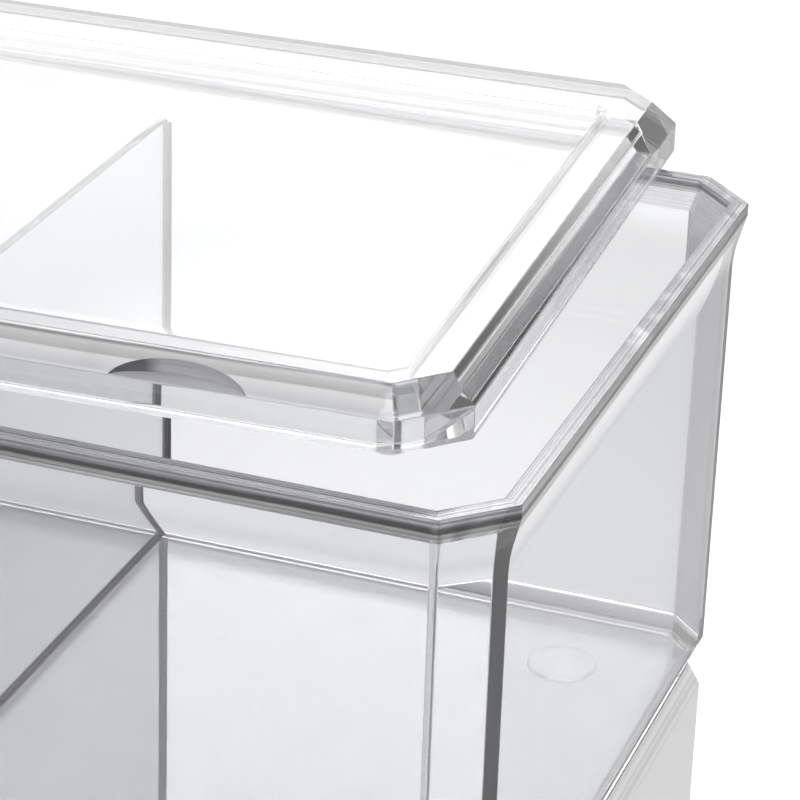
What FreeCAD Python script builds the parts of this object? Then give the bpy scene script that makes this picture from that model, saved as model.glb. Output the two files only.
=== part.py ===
import FreeCAD, Part
import math
import os

import Sketcher

# Cotton pad holder with a lidded upper box that stands on a drawer case.
# Millimetres, +Z up, front towards -Y.

os.makedirs("parts", exist_ok=True)
doc = FreeCAD.newDocument("cotton_pad_holder")

# ---------------------------------------------------------------- driving dimensions
SIZES = [
    # overall outline at the rim
    ("rim_width", 148.0, "outer width across the rim"),
    ("rim_depth", 95.0, "outer depth across the rim"),
    ("rim_corner", 6.2, "leg of the cut vertical corners at the rim"),
    ("corner_rate", 0.5858, "corner leg lost per mm of inward offset, 2 - sqrt 2"),
    ("frame_x", 5.66, "places the whole assembly centrally over the origin"),
    ("frame_y", 1.40, "places the whole assembly centrally over the origin"),
    # upper box
    ("box_height", 60.0, "plinth underside to rim"),
    ("wall_inset", 1.2, "rim edge to the upright wall face"),
    ("wall_thick", 2.3, "upright wall"),
    ("floor_thick", 1.6, "floor of the upper box"),
    ("plinth_height", 3.2, "stacking plinth below the walls"),
    ("plinth_inset", 1.4, "wall face to plinth face"),
    ("flare_start", 8.03, "flare start below the rim"),
    ("flare_radius", 14.0, "hollow radius at the foot of the flare"),
    ("flare_lean", 14.0, "degrees the straight part of the flare leans outward"),
    ("rim_edge", 1.5, "upright edge of the rim"),
    ("rim_flat", 2.0, "flat top of the rim"),
    ("mouth_edge", 0.9, "upright inner edge of the rim"),
    ("mouth_depth", 3.3, "rim to the foot of the inner slope"),
    ("floor_round", 2.0, "round between floor and walls"),
    # divider
    ("divider_thick", 1.2, "divider panel"),
    ("divider_drop", 4.8, "rim to the top of the divider"),
    ("bond_gap", 0.03, "adhesive line round a bonded panel"),
    # lid
    ("skirt_height", 3.6, "upright edge of the lid"),
    ("bevel_rise", 2.7, "height of the lid bevel"),
    ("bevel_run", 2.8, "width of the lid bevel"),
    ("ring_inset", 2.4, "lid edge to locating ring"),
    ("ring_drop", 1.3, "locating ring below the skirt"),
    ("frame_width", 7.6, "solid margin round the underside recess"),
    ("plate_thick", 3.6, "lid plate over the recess"),
    ("scoop_x", 45.7, "finger scoop from the middle of the lid"),
    ("scoop_out", 1.12, "scoop centre outside the lid edge"),
    ("scoop_up", 0.05, "scoop ledge above the bevel foot"),
    ("scoop_half", 7.6, "scoop half length"),
    ("scoop_round", 3.6, "scoop radius across"),
    ("lid_turn", 2.46, "degrees the lid lies askew"),
    ("lid_x", -9.61, "lid centre from box centre"),
    ("lid_y", 5.55, "lid centre from box centre"),
    ("rest_gap", 0.02, "air left between parts that only rest on each other"),
    # drawer case
    ("case_height", 45.0, "table to the top of the drawer case"),
    ("case_wall", 2.4, "side, back and top of the case"),
    ("case_floor", 2.2, "floor of the case"),
    ("top_rise", 2.8, "height of the bevel round the case top"),
    ("top_run", 1.4, "width of the bevel round the case top"),
    ("lip_drop", 1.8, "stop lip under the ceiling"),
    ("lip_thick", 1.5, "stop lip"),
    ("lip_back", 4.2, "case front to stop lip"),
    ("lip_half", 60.0, "half length of the stop lip"),
    ("glide_height", 0.5, "glide rib on the case floor"),
    ("glide_width", 2.0, "glide rib"),
    ("glide_x", 60.0, "glide rib from the middle"),
    ("glide_half", 40.0, "half length of a glide rib"),
    # feet and pads
    ("foot_dia", 10.0, "foot"),
    ("foot_show", 1.2, "foot below the case"),
    ("foot_sunk", 1.0, "foot recess depth"),
    ("foot_round", 0.5, "round at the foot's lower edge"),
    ("foot_x", 56.0, "foot from the middle"),
    ("foot_y", 32.0, "foot from the middle"),
    ("pad_dia", 8.0, "anti-slip pad"),
    ("pad_sunk", 0.4, "pad recess depth"),
    ("pad_show", 0.4, "pad above the case"),
    ("recess_gap", 0.1, "air round a foot or pad"),
    # drawer
    ("side_gap", 0.5, "air at each side of the drawer"),
    ("head_gap", 0.4, "air above the drawer front"),
    ("tail_gap", 0.8, "air behind the drawer"),
    ("front_thick", 3.2, "drawer front"),
    ("tray_wall", 2.2, "drawer sides and back"),
    ("tray_floor", 2.0, "drawer floor"),
    ("side_top", 39.5, "top of the drawer sides above the table"),
    ("tab_top", 42.0, "top of the stop tabs above the table"),
    ("tab_in", 34.0, "inner end of a stop tab"),
    ("tab_out", 46.0, "outer end of a stop tab"),
    ("tray_round", 1.6, "round at the drawer floor"),
    ("knob_z", 23.1, "knob axis above the table"),
    ("knob_neck", 5.0, "knob neck radius at its corners"),
    ("knob_girdle", 8.6, "knob widest radius at its corners"),
    ("knob_face", 6.2, "knob face radius at its corners"),
    ("neck_length", 2.6, "neck"),
    ("flare_length", 7.6, "front to the start of the girdle"),
    ("girdle_length", 9.8, "front to the end of the girdle"),
    ("knob_length", 12.4, "front to knob face"),
    ("screw_dia", 2.9, "screw shank"),
    ("pilot_dia", 3.0, "hole in the knob"),
    ("pilot_depth", 8.6, "depth of the hole in the knob"),
    ("front_hole", 3.4, "hole in the drawer front"),
    ("screw_reach", 8.0, "shank inside the knob"),
    ("head_dia", 6.0, "screw head"),
    ("head_height", 1.9, "screw head"),
    ("slot_width", 0.9, "cross recess arm"),
    ("slot_half", 1.6, "half length of a cross recess arm"),
    ("slot_depth", 1.0, "cross recess"),
    ("washer_dia", 7.4, "washer"),
    ("washer_hole", 3.2, "washer hole"),
    ("washer_thick", 0.5, "washer"),
]

dims = doc.addObject("Spreadsheet::Sheet", "dims")
for row, (alias, number, words) in enumerate(SIZES, start=1):
    dims.set("A%d" % row, words)
    dims.set("B%d" % row, repr(number))
    dims.setAlias("B%d" % row, alias)
doc.recompute()


class Size:
    """A length kept both as a number and as the sheet expression that drives it."""

    def __init__(self, number, words):
        self.number = number
        self.words = words

    def join(self, other, sign):
        other = other if isinstance(other, Size) else Size(float(other), repr(float(other)))
        a, b = self.number, other.number
        number = {"+": a + b, "-": a - b, "*": a * b}[sign] if sign != "/" else a / b
        return Size(number, "(%s %s %s)" % (self.words, sign, other.words))

    def __add__(self, other):
        return self.join(other, "+")

    def __sub__(self, other):
        return self.join(other, "-")

    def __mul__(self, other):
        return self.join(other, "*")

    def __truediv__(self, other):
        return self.join(other, "/")

    def __neg__(self):
        return Size(-self.number, "(0 - %s)" % self.words)


S = {alias: Size(number, "dims.%s" % alias) for alias, number, _ in SIZES}
ZERO = Size(0.0, "0")


def drive(thing, path, size):
    """Binds one property to the sheet."""
    thing.setExpression(path, size.words)


# ---------------------------------------------------------------- sketch and feature helpers
def plane_of(body, role):
    for feature in body.Origin.OriginFeatures:
        if feature.Role == role:
            return feature
    raise RuntimeError("no plane " + role)


def new_body(label, x=None, y=None, z=None):
    body = doc.addObject("PartDesign::Body", label)
    body.Label = label
    drive(body, "Placement.Base.x", S["frame_x"] + (x or ZERO))
    drive(body, "Placement.Base.y", S["frame_y"] + (y or ZERO))
    drive(body, "Placement.Base.z", z or ZERO)
    return body


def new_sketch(body, name, height=ZERO, role="XY_Plane"):
    sketch = body.newObject("Sketcher::SketchObject", name)
    sketch.AttachmentSupport = [(plane_of(body, role), "")]
    sketch.MapMode = "FlatFace"
    drive(sketch, ".AttachmentOffset.Base.z", height)
    return sketch


def fix_point(sketch, geo, pos, x, y):
    """Ties a sketch point to the origin by two driven distances."""
    for kind, size, axis in (("DistanceX", x, -2), ("DistanceY", y, -1)):
        if abs(size.number) < 1e-9:
            sketch.addConstraint(Sketcher.Constraint("PointOnObject", geo, pos, axis))
            continue
        if size.number > 0:
            rule = Sketcher.Constraint(kind, -1, 1, geo, pos, size.number)
        else:
            rule = Sketcher.Constraint(kind, geo, pos, -1, 1, -size.number)
            size = -size
        index = sketch.addConstraint(rule)
        sketch.setExpression("Constraints[%d]" % index, size.words)


def draw_polygon(sketch, corners):
    first = sketch.GeometryCount
    spots = [FreeCAD.Vector(x.number, y.number, 0) for x, y in corners]
    count = len(spots)
    for i in range(count):
        sketch.addGeometry(Part.LineSegment(spots[i], spots[(i + 1) % count]), False)
    for i in range(count):
        sketch.addConstraint(
            Sketcher.Constraint("Coincident", first + i, 2, first + (i + 1) % count, 1))
    for i, (x, y) in enumerate(corners):
        fix_point(sketch, first + i, 1, x, y)
    return sketch


def draw_circle(sketch, x, y, radius):
    centre = FreeCAD.Vector(x.number, y.number, 0)
    geo = sketch.addGeometry(Part.Circle(centre, FreeCAD.Vector(0, 0, 1), radius.number), False)
    fix_point(sketch, geo, 3, x, y)
    index = sketch.addConstraint(Sketcher.Constraint("Radius", geo, radius.number))
    sketch.setExpression("Constraints[%d]" % index, radius.words)
    return sketch


def draw_box(sketch, x0, x1, y0, y1):
    return draw_polygon(sketch, [(x0, y0), (x1, y0), (x1, y1), (x0, y1)])


def octagon(body, name, height, inset):
    """Outline of the rim moved inwards by inset, with its cut corners."""
    half_x = S["rim_width"] / 2 - inset
    half_y = S["rim_depth"] / 2 - inset
    leg = S["rim_corner"] - S["corner_rate"] * inset
    short_x, short_y = half_x - leg, half_y - leg
    corners = [(half_x, -short_y), (half_x, short_y), (short_x, half_y), (-short_x, half_y),
               (-half_x, short_y), (-half_x, -short_y), (-short_x, -half_y), (short_x, -half_y)]
    return draw_polygon(new_sketch(body, name, height), corners)


def regular_octagon(body, name, height, radius):
    """Eight-sided outline with flats left, right, top and bottom."""
    far, near = radius * 0.92388, radius * 0.38268
    corners = [(far, -near), (far, near), (near, far), (-near, far),
               (-far, near), (-far, -near), (-near, -far), (near, -far)]
    return draw_polygon(new_sketch(body, name, height), corners)


def add_pad(body, sketch, name, length, down=False):
    feature = body.newObject("PartDesign::Pad", name)
    feature.Profile = sketch
    drive(feature, "Length", length)
    feature.Reversed = down
    sketch.Visibility = False
    return feature


def cut_pocket(body, sketch, name, length, up=False):
    feature = body.newObject("PartDesign::Pocket", name)
    feature.Profile = sketch
    drive(feature, "Length", length)
    feature.Reversed = up
    sketch.Visibility = False
    return feature


def make_loft(body, kind, name, sketches, ruled=True):
    feature = body.newObject("PartDesign::" + kind, name)
    feature.Profile = sketches[0]
    feature.Sections = sketches[1:]
    feature.Ruled = ruled
    return feature


def flat_edges(shape, height, x_limit=None, y_limit=None):
    """Names of the edges that lie level at one height, inside a rectangle if one is given."""
    names = []
    for number, edge in enumerate(shape.Edges, start=1):
        box = edge.BoundBox
        if abs(box.ZMin - height) > 1e-4 or abs(box.ZMax - height) > 1e-4:
            continue
        if x_limit and max(abs(box.XMin), abs(box.XMax)) > x_limit:
            continue
        if y_limit and max(abs(box.YMin), abs(box.YMax)) > y_limit:
            continue
        names.append("Edge%d" % number)
    return names


def round_edges(body, name, base, names, radius):
    feature = body.newObject("PartDesign::Fillet", name)
    feature.Base = (base, names)
    drive(feature, "Radius", radius)
    return feature


def grew(before, after, what):
    if not after > before + 1e-6:
        raise RuntimeError("no material added by " + what)


def shrank(before, after, what):
    if not after < before - 1e-6:
        raise RuntimeError("nothing removed by " + what)


# heights above the table
case_top = S["case_height"]
box_foot = case_top + S["pad_show"] + S["rest_gap"]
rim_level = box_foot + S["box_height"]

# ---------------------------------------------------------------- upper box
# One moulding: plinth, upright walls, hollow flare, rim, cavity and floor round.
upper_box = new_body("upper_box", z=box_foot)
plinth_edge = S["wall_inset"] + S["plinth_inset"]
inner_edge = S["wall_inset"] + S["wall_thick"]
flare_foot = S["box_height"] - S["flare_start"]

add_pad(upper_box, octagon(upper_box, "plinth_outline", ZERO, plinth_edge),
        "plinth", S["plinth_height"])
add_pad(upper_box, octagon(upper_box, "wall_outline", S["plinth_height"], S["wall_inset"]),
        "walls", flare_foot - S["plinth_height"])

# The flare starts upright, turns outward on a hollow arc and runs straight on to the rim.
ARC_STEPS = 4
flare_sketches = [octagon(upper_box, "flare_outline_0", flare_foot, S["wall_inset"])]
for step in range(1, ARC_STEPS + 1):
    radius, lean = S["flare_radius"], S["flare_lean"] * (step / ARC_STEPS)
    turn = math.radians(lean.number)
    rise = Size(radius.number * math.sin(turn), "(%s * sin(%s * 1deg))" % (radius.words, lean.words))
    spread = Size(radius.number * (1 - math.cos(turn)),
                  "(%s * (1 - cos(%s * 1deg)))" % (radius.words, lean.words))
    flare_sketches.append(octagon(upper_box, "flare_outline_%d" % step, flare_foot + rise,
                                  S["wall_inset"] - spread))
make_loft(upper_box, "AdditiveLoft", "flare_arc", flare_sketches, ruled=False)
rim_foot = S["box_height"] - S["rim_edge"]
make_loft(upper_box, "AdditiveLoft", "flare_slope",
          [octagon(upper_box, "slope_outline", flare_foot + rise, S["wall_inset"] - spread),
           octagon(upper_box, "rim_foot_outline", rim_foot, ZERO)])
add_pad(upper_box, octagon(upper_box, "rim_outline", rim_foot, ZERO),
        "rim", S["rim_edge"])
doc.recompute()
solid_volume = upper_box.Shape.Volume

cut_pocket(upper_box, octagon(upper_box, "cavity_outline", S["box_height"], inner_edge),
           "cavity", S["box_height"] - S["floor_thick"])
slope_sketches = [
    octagon(upper_box, "slope_foot", S["box_height"] - S["mouth_depth"], inner_edge),
    octagon(upper_box, "slope_head", S["box_height"] - S["mouth_edge"], S["rim_flat"])]
make_loft(upper_box, "SubtractiveLoft", "mouth_slope", slope_sketches)
mouth = cut_pocket(upper_box, octagon(upper_box, "mouth_outline", S["box_height"], S["rim_flat"]),
                   "mouth", S["mouth_edge"])
doc.recompute()
shrank(solid_volume, upper_box.Shape.Volume, "the cavity")
floor_edges = flat_edges(mouth.Shape, S["floor_thick"].number,
                         S["rim_width"].number / 2 - inner_edge.number + 0.01,
                         S["rim_depth"].number / 2 - inner_edge.number + 0.01)
round_edges(upper_box, "floor_round_edges", mouth, floor_edges, S["floor_round"])

# ---------------------------------------------------------------- divider
# Bonded between front and back wall, its lower corners rounded to sit in the floor round.
divider = new_body("divider", z=box_foot)
divider_half = S["rim_depth"] / 2 - inner_edge - S["bond_gap"]
divider_low = S["floor_thick"] + S["bond_gap"]
divider_high = S["box_height"] - S["divider_drop"]
half_thick = S["divider_thick"] / 2
panel = add_pad(divider, draw_box(new_sketch(divider, "divider_outline", divider_low),
                                  -half_thick, half_thick, -divider_half, divider_half),
                "panel", divider_high - divider_low)
doc.recompute()
lower_ends = [
    "Edge%d" % n for n, edge in enumerate(panel.Shape.Edges, start=1)
    if edge.BoundBox.ZMax < divider_low.number + 1e-4 and edge.BoundBox.YLength < 1e-4]
round_edges(divider, "lower_corners", panel, lower_ends, S["floor_round"])

# ---------------------------------------------------------------- lid
# Local zero is the underside of the skirt. The locating ring hangs below it.
lid = new_body("lid", x=S["lid_x"], y=S["lid_y"], z=rim_level + S["rest_gap"] + S["ring_drop"])
lid.Placement = FreeCAD.Placement(lid.Placement.Base,
                                  FreeCAD.Rotation(FreeCAD.Vector(0, 0, 1), S["lid_turn"].number))
drive(lid, "Placement.Rotation.Angle", S["lid_turn"])
lid_top = S["skirt_height"] + S["bevel_rise"]
add_pad(lid, octagon(lid, "skirt_outline", ZERO, ZERO), "skirt", S["skirt_height"])
make_loft(lid, "AdditiveLoft", "bevel",
          [octagon(lid, "bevel_foot", S["skirt_height"], ZERO),
           octagon(lid, "bevel_head", lid_top, S["bevel_run"])])
add_pad(lid, octagon(lid, "ring_outline", ZERO, S["ring_inset"]),
        "locating_ring", S["ring_drop"], down=True)
doc.recompute()
lid_volume = lid.Shape.Volume
cut_pocket(lid, octagon(lid, "recess_outline", -S["ring_drop"], S["frame_width"]),
           "underside_recess", S["ring_drop"] + lid_top - S["plate_thick"], up=True)
doc.recompute()
shrank(lid_volume, lid.Shape.Volume, "the underside recess")
lid_volume = lid.Shape.Volume
scoop = lid.newObject("PartDesign::SubtractiveEllipsoid", "finger_scoop")
scoop.AttachmentSupport = [(plane_of(lid, "XY_Plane"), "")]
scoop.MapMode = "FlatFace"
drive(scoop, ".AttachmentOffset.Base.x", S["scoop_x"])
drive(scoop, ".AttachmentOffset.Base.y", -(S["rim_depth"] / 2 + S["scoop_out"]))
drive(scoop, ".AttachmentOffset.Base.z", S["skirt_height"] + S["scoop_up"])
drive(scoop, "Radius1", S["scoop_round"])
drive(scoop, "Radius2", S["scoop_half"])
drive(scoop, "Radius3", S["scoop_round"])
scoop.Angle1 = 0  # the upper half alone, so that a level ledge is left for the finger
doc.recompute()
shrank(lid_volume, lid.Shape.Volume, "the finger scoop")
lid_volume = lid.Shape.Volume
pair = lid.newObject("PartDesign::Mirrored", "scoop_pair")
pair.Originals = [scoop]
pair.MirrorPlane = (plane_of(lid, "YZ_Plane"), [""])
lid.Tip = pair
doc.recompute()
shrank(lid_volume, lid.Shape.Volume, "the second finger scoop")

# ---------------------------------------------------------------- drawer case
# One moulding, open at the front, with the same cut corners as the box above it.
drawer_case = new_body("drawer_case")
case_edge = S["wall_inset"]
bevel_foot = case_top - S["top_rise"]
add_pad(drawer_case, octagon(drawer_case, "case_outline", S["foot_show"], case_edge),
        "case_block", bevel_foot - S["foot_show"])
make_loft(drawer_case, "AdditiveLoft", "top_bevel",
          [octagon(drawer_case, "top_bevel_foot", bevel_foot, case_edge),
           octagon(drawer_case, "top_bevel_head", case_top, case_edge + S["top_run"])])
doc.recompute()
case_volume = drawer_case.Shape.Volume

front_y = -(S["rim_depth"] / 2 - case_edge)
back_y = S["rim_depth"] / 2 - case_edge - S["case_wall"]
bay_half = S["rim_width"] / 2 - case_edge - S["case_wall"]
bay_leg = S["rim_corner"] - S["corner_rate"] * (case_edge + S["case_wall"])
bay_floor = S["foot_show"] + S["case_floor"]
bay_ceiling = case_top - S["case_wall"]
bay = new_sketch(drawer_case, "bay_outline", bay_ceiling)
draw_polygon(bay, [(-bay_half, front_y - 5), (bay_half, front_y - 5),
                   (bay_half, back_y - bay_leg), (bay_half - bay_leg, back_y),
                   (-(bay_half - bay_leg), back_y), (-bay_half, back_y - bay_leg)])
cut_pocket(drawer_case, bay, "drawer_bay", bay_ceiling - bay_floor)
doc.recompute()
shrank(case_volume, drawer_case.Shape.Volume, "the drawer bay")
case_volume = drawer_case.Shape.Volume

lip = new_sketch(drawer_case, "lip_outline", bay_ceiling)
lip_front = front_y + S["lip_back"]
draw_box(lip, -S["lip_half"], S["lip_half"], lip_front, lip_front + S["lip_thick"])
add_pad(drawer_case, lip, "stop_lip", S["lip_drop"], down=True)
for side, sign in (("left", -1), ("right", 1)):
    rib = new_sketch(drawer_case, "glide_outline_" + side, bay_floor)
    inner = S["glide_x"] * sign - S["glide_width"] / 2
    draw_box(rib, inner, inner + S["glide_width"], -S["glide_half"], S["glide_half"])
    add_pad(drawer_case, rib, "glide_rib_" + side, S["glide_height"])
doc.recompute()
grew(case_volume, drawer_case.Shape.Volume, "the stop lip and glide ribs")
case_volume = drawer_case.Shape.Volume

SPOTS = [("front_left", -1, -1), ("front_right", 1, -1), ("back_left", -1, 1), ("back_right", 1, 1)]
foot_holes = new_sketch(drawer_case, "foot_recess_outline", S["foot_show"])
pad_holes = new_sketch(drawer_case, "pad_recess_outline", case_top)
for place, sx, sy in SPOTS:
    draw_circle(foot_holes, S["foot_x"] * sx, S["foot_y"] * sy,
                S["foot_dia"] / 2 + S["recess_gap"])
    draw_circle(pad_holes, S["foot_x"] * sx, S["foot_y"] * sy,
                S["pad_dia"] / 2 + S["recess_gap"])
cut_pocket(drawer_case, foot_holes, "foot_recesses", S["foot_sunk"], up=True)
cut_pocket(drawer_case, pad_holes, "pad_recesses", S["pad_sunk"])
doc.recompute()
shrank(case_volume, drawer_case.Shape.Volume, "the foot and pad recesses")

# ---------------------------------------------------------------- feet and anti-slip pads
small_bodies = []
for place, sx, sy in SPOTS:
    foot = new_body("foot_" + place, x=S["foot_x"] * sx, y=S["foot_y"] * sy)
    disc = new_sketch(foot, "foot_outline_" + place)
    draw_circle(disc, ZERO, ZERO, S["foot_dia"] / 2)
    block = add_pad(foot, disc, "foot_disc_" + place,
                    S["foot_show"] + S["foot_sunk"] - S["rest_gap"])
    doc.recompute()
    round_edges(foot, "foot_edge_" + place, block, flat_edges(block.Shape, 0.0), S["foot_round"])
    pad = new_body("pad_" + place, x=S["foot_x"] * sx, y=S["foot_y"] * sy,
                   z=case_top - S["pad_sunk"] + S["rest_gap"])
    disc = new_sketch(pad, "pad_outline_" + place)
    draw_circle(disc, ZERO, ZERO, S["pad_dia"] / 2)
    add_pad(pad, disc, "pad_disc_" + place, S["pad_sunk"] + S["pad_show"] - S["rest_gap"])
    small_bodies += [foot, pad]

# ---------------------------------------------------------------- drawer
# The front carries the same corner cuts as the case, so both line up when it is shut.
drawer_tray = new_body("drawer_tray")
tray_low = bay_floor + S["glide_height"] + S["rest_gap"]
tray_half = bay_half - S["side_gap"]
tray_back = back_y - S["tail_gap"]
front_top = bay_ceiling - S["head_gap"]
cut_reach = (S["rim_width"] / 2 - case_edge) + (S["rim_depth"] / 2 - case_edge) - (
    S["rim_corner"] - S["corner_rate"] * case_edge)
front_x = cut_reach + front_y
cut_y = -(cut_reach - tray_half)
back_leg = bay_leg - 0.6
slab_back = front_y + S["front_thick"]

block = new_sketch(drawer_tray, "tray_outline", tray_low)
draw_polygon(block, [(-front_x, front_y), (front_x, front_y), (tray_half, cut_y),
                     (tray_half, tray_back - back_leg), (tray_half - back_leg, tray_back),
                     (-(tray_half - back_leg), tray_back), (-tray_half, tray_back - back_leg),
                     (-tray_half, cut_y)])
add_pad(drawer_tray, block, "tray_block", S["side_top"] - tray_low)
slab = new_sketch(drawer_tray, "front_outline", S["side_top"])
draw_polygon(slab, [(-front_x, front_y), (front_x, front_y), (tray_half, cut_y),
                    (tray_half, slab_back), (-tray_half, slab_back), (-tray_half, cut_y)])
add_pad(drawer_tray, slab, "front_head", front_top - S["side_top"])
doc.recompute()
tray_volume = drawer_tray.Shape.Volume

inside_half = tray_half - S["tray_wall"]
inside_back = tray_back - S["tray_wall"]
inside_leg = back_leg - S["corner_rate"] * S["tray_wall"]
inside = new_sketch(drawer_tray, "inside_outline", S["side_top"])
draw_polygon(inside, [(-inside_half, slab_back), (inside_half, slab_back),
                      (inside_half, inside_back - inside_leg),
                      (inside_half - inside_leg, inside_back),
                      (-(inside_half - inside_leg), inside_back),
                      (-inside_half, inside_back - inside_leg)])
tray_bed = tray_low + S["tray_floor"]
hollow = cut_pocket(drawer_tray, inside, "tray_inside", S["side_top"] - tray_bed)
doc.recompute()
shrank(tray_volume, drawer_tray.Shape.Volume, "the inside of the drawer")
bed_edges = flat_edges(hollow.Shape, tray_bed.number, inside_half.number + 0.01)
rounded = round_edges(drawer_tray, "tray_round_edges", hollow, bed_edges, S["tray_round"])
doc.recompute()
tray_volume = drawer_tray.Shape.Volume
for side, sign in (("left", -1), ("right", 1)):
    tab = new_sketch(drawer_tray, "tab_outline_" + side, S["side_top"])
    ends = sorted((S["tab_in"] * sign, S["tab_out"] * sign), key=lambda size: size.number)
    draw_box(tab, ends[0], ends[1], inside_back, tray_back)
    add_pad(drawer_tray, tab, "stop_tab_" + side, S["tab_top"] - S["side_top"])
doc.recompute()
grew(tray_volume, drawer_tray.Shape.Volume, "the stop tabs")
tray_volume = drawer_tray.Shape.Volume
hole = new_sketch(drawer_tray, "screw_hole_outline", -front_y, role="XZ_Plane")
draw_circle(hole, ZERO, S["knob_z"], S["front_hole"] / 2)
cut_pocket(drawer_tray, hole, "screw_hole", S["front_thick"])
doc.recompute()
shrank(tray_volume, drawer_tray.Shape.Volume, "the screw hole")


# ---------------------------------------------------------------- knob, screw and washer
# These are drawn upright and laid over so that their own +Z points out of the drawer front.
def front_body(label, y):
    body = new_body(label, y=y, z=S["knob_z"])
    body.Placement = FreeCAD.Placement(
        body.Placement.Base, FreeCAD.Rotation(FreeCAD.Vector(1, 0, 0), 90))
    return body


knob = front_body("knob", front_y - S["rest_gap"])
stages = [("neck_foot", ZERO, S["knob_neck"]), ("neck_head", S["neck_length"], S["knob_neck"]),
          ("girdle_foot", S["flare_length"], S["knob_girdle"]),
          ("girdle_head", S["girdle_length"], S["knob_girdle"]),
          ("face", S["knob_length"], S["knob_face"])]
make_loft(knob, "AdditiveLoft", "knob_facets",
          [regular_octagon(knob, name, height, radius) for name, height, radius in stages])
doc.recompute()
knob_volume = knob.Shape.Volume
pilot = new_sketch(knob, "pilot_outline")
draw_circle(pilot, ZERO, ZERO, S["pilot_dia"] / 2)
cut_pocket(knob, pilot, "pilot_hole", S["pilot_depth"], up=True)
doc.recompute()
shrank(knob_volume, knob.Shape.Volume, "the pilot hole")

washer = front_body("knob_washer", slab_back + S["washer_thick"] + S["rest_gap"])
ring = new_sketch(washer, "washer_outline")
draw_circle(ring, ZERO, ZERO, S["washer_dia"] / 2)
draw_circle(ring, ZERO, ZERO, S["washer_hole"] / 2)
add_pad(washer, ring, "washer_ring", S["washer_thick"])

screw = front_body("knob_screw", slab_back + S["washer_thick"] + S["rest_gap"] * 2)
head = new_sketch(screw, "head_outline")
draw_circle(head, ZERO, ZERO, S["head_dia"] / 2)
add_pad(screw, head, "screw_head", S["head_height"], down=True)
shank = new_sketch(screw, "shank_outline")
draw_circle(shank, ZERO, ZERO, S["screw_dia"] / 2)
add_pad(screw, shank, "screw_shank", S["washer_thick"] + S["front_thick"] + S["screw_reach"])
doc.recompute()
head_edges = flat_edges(screw.Tip.Shape, -S["head_height"].number)
crown = round_edges(screw, "screw_crown", screw.Tip, head_edges, S["head_height"] * 0.5)
doc.recompute()
screw_volume = screw.Shape.Volume
cross = new_sketch(screw, "cross_outline", -S["head_height"])
arm, reach = S["slot_width"] / 2, S["slot_half"]
draw_polygon(cross, [(reach, -arm), (reach, arm), (arm, arm), (arm, reach), (-arm, reach),
                     (-arm, arm), (-reach, arm), (-reach, -arm), (-arm, -arm), (-arm, -reach),
                     (arm, -reach), (arm, -arm)])
cut_pocket(screw, cross, "cross_recess", S["slot_depth"], up=True)
doc.recompute()
shrank(screw_volume, screw.Shape.Volume, "the cross recess")

# ---------------------------------------------------------------- check and export
nodes = [upper_box, divider, lid, drawer_case, drawer_tray, knob, washer, screw] + small_bodies
doc.recompute()
for thing in doc.Objects:
    if "Invalid" in thing.State or "Error" in thing.State:
        raise RuntimeError("%s did not recompute: %s" % (thing.Name, thing.State))
whole = None
for body in nodes:
    shape = body.Shape
    if shape.isNull() or not shape.isValid() or len(shape.Solids) != 1:
        raise RuntimeError("%s is not one valid solid" % body.Label)
    box = shape.BoundBox
    print("%-18s volume %9.1f  x %.2f..%.2f  y %.2f..%.2f  z %.2f..%.2f" % (
        body.Label, shape.Volume, box.XMin, box.XMax, box.YMin, box.YMax, box.ZMin, box.ZMax))
    whole = box if whole is None else whole.united(box)
    shape.exportStep("parts/%s.step" % body.Label)
print("whole centre %.3f %.3f  low %.3f" % (whole.Center.x, whole.Center.y, whole.ZMin))
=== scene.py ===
# %% [markdown]
# # Clear cotton pad holder with a drawer
# The real thing is a stack of clear mouldings: a drawer case with its drawer, an open box with a
# divider that stands on it, and a loose lid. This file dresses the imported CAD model. Every clear
# piece is rebuilt here with softened edges, because a clear edge is only seen by how it bends light.

# %% Load the frame
import math

import bmesh
import bpy
from mathutils import Matrix, Vector


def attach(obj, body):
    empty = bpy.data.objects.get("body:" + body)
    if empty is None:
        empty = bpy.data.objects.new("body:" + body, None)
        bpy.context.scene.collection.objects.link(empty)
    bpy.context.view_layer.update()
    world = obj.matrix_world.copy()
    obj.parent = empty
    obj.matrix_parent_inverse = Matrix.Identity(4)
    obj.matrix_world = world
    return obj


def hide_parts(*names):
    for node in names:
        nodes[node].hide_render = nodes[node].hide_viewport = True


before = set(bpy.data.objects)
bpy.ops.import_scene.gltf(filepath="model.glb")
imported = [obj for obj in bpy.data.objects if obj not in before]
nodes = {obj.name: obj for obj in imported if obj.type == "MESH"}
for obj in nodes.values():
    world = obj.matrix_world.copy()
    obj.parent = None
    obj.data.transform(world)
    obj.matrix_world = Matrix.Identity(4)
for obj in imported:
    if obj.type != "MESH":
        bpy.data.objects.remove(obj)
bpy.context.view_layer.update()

# %% [markdown]
# ## The camera
# A long lens from a little above the front right corner. The place is in metres in the same frame
# as the model. The three axes come from an azimuth, an elevation and a small roll of the horizon.

# %% Camera
CAMERA_PLACE = Vector((0.16291, -0.31345, 0.25113))
CAMERA_AZIMUTH, CAMERA_ELEVATION, CAMERA_ROLL = 0.33670, 0.44210, 0.0347
LENS_MM, SENSOR_MM = 153.9, 36.0
NEAR_CLIP, FAR_CLIP = 0.01, 20.0


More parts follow.
